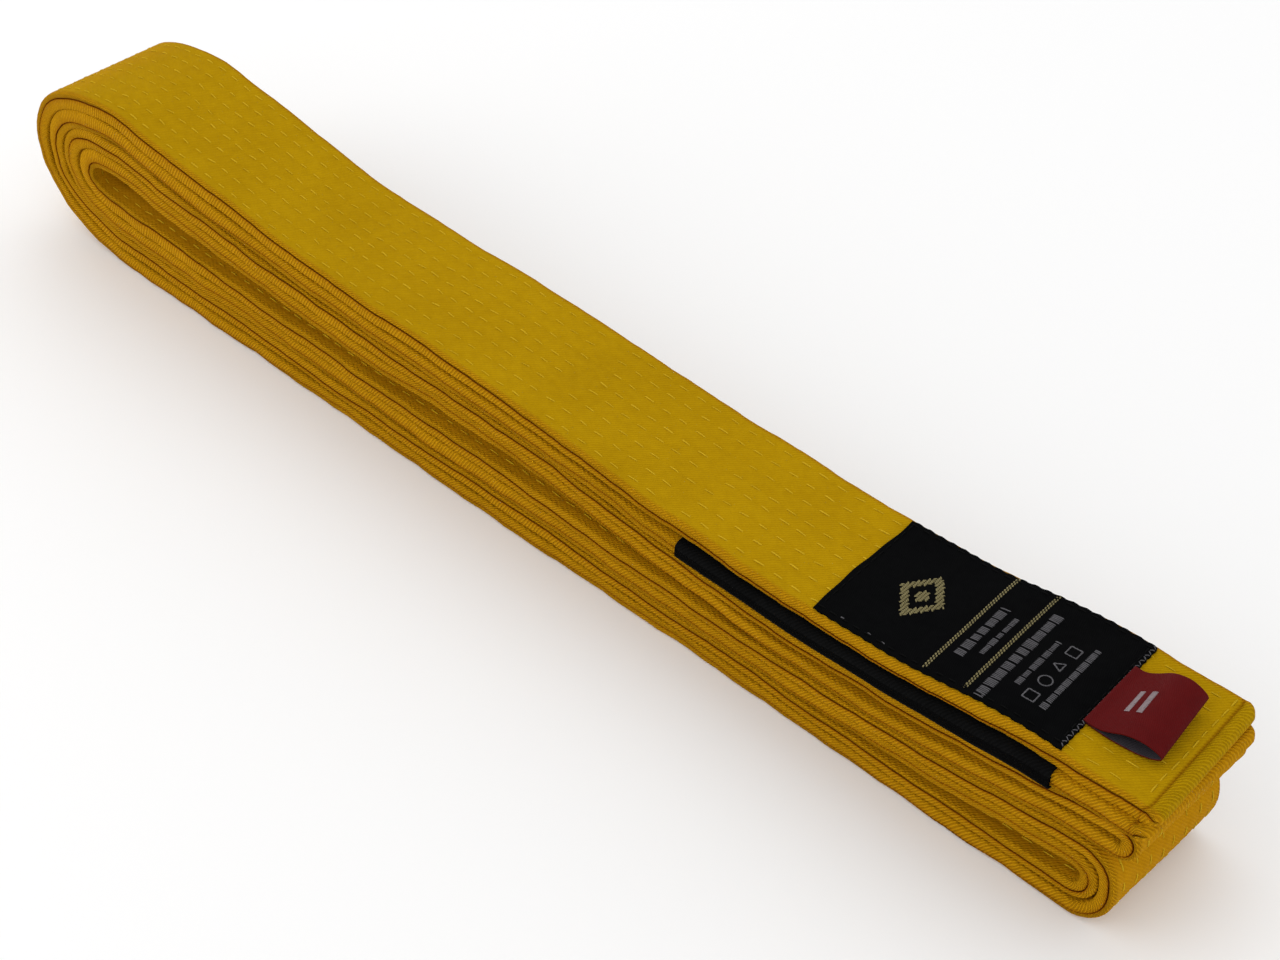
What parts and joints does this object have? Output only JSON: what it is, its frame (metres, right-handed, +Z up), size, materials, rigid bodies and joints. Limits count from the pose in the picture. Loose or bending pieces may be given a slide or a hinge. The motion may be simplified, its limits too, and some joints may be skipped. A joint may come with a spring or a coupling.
{
  "type": "martial arts belt",
  "caption": "Yellow cotton martial arts belt folded in half into a flat bundle, with a black rank bar on one end and a black woven label and red size tag on the other.",
  "frame": {"origin": "centre of the underside of the folded bundle, on the surface it lies on", "axes": "+X along the bundle towards the two free ends, +Y across the belt away from the side its edge seam is on, +Z up"},
  "size_m": [0.3722, 0.0396, 0.0523],
  "materials": {
    "yellow_cotton": "matte",
    "core_cotton": "matte",
    "yellow_thread": "matte",
    "black_bar": "matte",
    "label_black": "satin",
    "tag_satin": "satin"
  },
  "bodies": {
    "folded_bundle": {"core_ply_1_folded": "core_cotton", "core_ply_2_folded": "core_cotton", "cover_folded": "yellow_cotton", "edge_seam_thread_folded": "yellow_thread", "stitch_row_1_folded": "yellow_thread", "stitch_row_2_folded": "yellow_thread", "stitch_row_3_folded": "yellow_thread", "stitch_row_4_folded": "yellow_thread", "stitch_row_5_folded": "yellow_thread", "stitch_row_6_folded": "yellow_thread", "stitch_row_7_folded": "yellow_thread", "stitch_row_8_folded": "yellow_thread"},
    "lower_end": {"core_ply_1_bridge": "core_cotton", "core_ply_1_lower_end": "core_cotton", "core_ply_2_bridge": "core_cotton", "core_ply_2_lower_end": "core_cotton", "cover_bridge": "yellow_cotton", "cover_lower_end": "yellow_cotton", "edge_seam_thread_bridge": "yellow_thread", "edge_seam_thread_lower_end": "yellow_thread", "hem_thread_1_lower_end": "yellow_thread", "hem_thread_2_lower_end": "yellow_thread", "rank_bar": "black_bar", "stitch_row_1_bridge": "yellow_thread", "stitch_row_1_lower_end": "yellow_thread", "stitch_row_2_bridge": "yellow_thread", "stitch_row_2_lower_end": "yellow_thread", "stitch_row_3_bridge": "yellow_thread", "stitch_row_3_lower_end": "yellow_thread", "stitch_row_4_bridge": "yellow_thread", "stitch_row_4_lower_end": "yellow_thread", "stitch_row_5_bridge": "yellow_thread", "stitch_row_5_lower_end": "yellow_thread", "stitch_row_6_bridge": "yellow_thread", "stitch_row_6_lower_end": "yellow_thread", "stitch_row_7_bridge": "yellow_thread", "stitch_row_7_lower_end": "yellow_thread", "stitch_row_8_bridge": "yellow_thread", "stitch_row_8_lower_end": "yellow_thread"},
    "upper_end": {"core_ply_1_upper_end": "core_cotton", "core_ply_2_upper_end": "core_cotton", "cover_upper_end": "yellow_cotton", "edge_seam_thread_upper_end": "yellow_thread", "hem_thread_1_upper_end": "yellow_thread", "hem_thread_2_upper_end": "yellow_thread", "label": "label_black", "label_thread_far": "label_black", "label_thread_left": "label_black", "label_thread_near": "label_black", "label_thread_right": "label_black", "stitch_row_1_upper_end": "yellow_thread", "stitch_row_2_upper_end": "yellow_thread", "stitch_row_3_upper_end": "yellow_thread", "stitch_row_4_upper_end": "yellow_thread", "stitch_row_5_upper_end": "yellow_thread", "stitch_row_6_upper_end": "yellow_thread", "stitch_row_7_upper_end": "yellow_thread", "stitch_row_8_upper_end": "yellow_thread"},
    "size_tag": {"size_tag": "tag_satin"}
  },
  "joints": [
    {"name": "lower_end_lift", "type": "hinge", "parent": "folded_bundle", "child": "lower_end", "pos_m": [0.044, 0, 0.03975], "axis": [0, -1, 0], "range_deg": [0, 30]},
    {"name": "upper_end_lift", "type": "hinge", "parent": "lower_end", "child": "upper_end", "pos_m": [0.07, 0, 0.03826], "axis": [0, -1, 0], "range_deg": [0, 80]},
    {"name": "size_tag_flip", "type": "hinge", "parent": "upper_end", "child": "size_tag", "pos_m": [0.1621, 0, 0.0459], "axis": [0, -1, 0], "range_deg": [0, 105]}
  ]
}
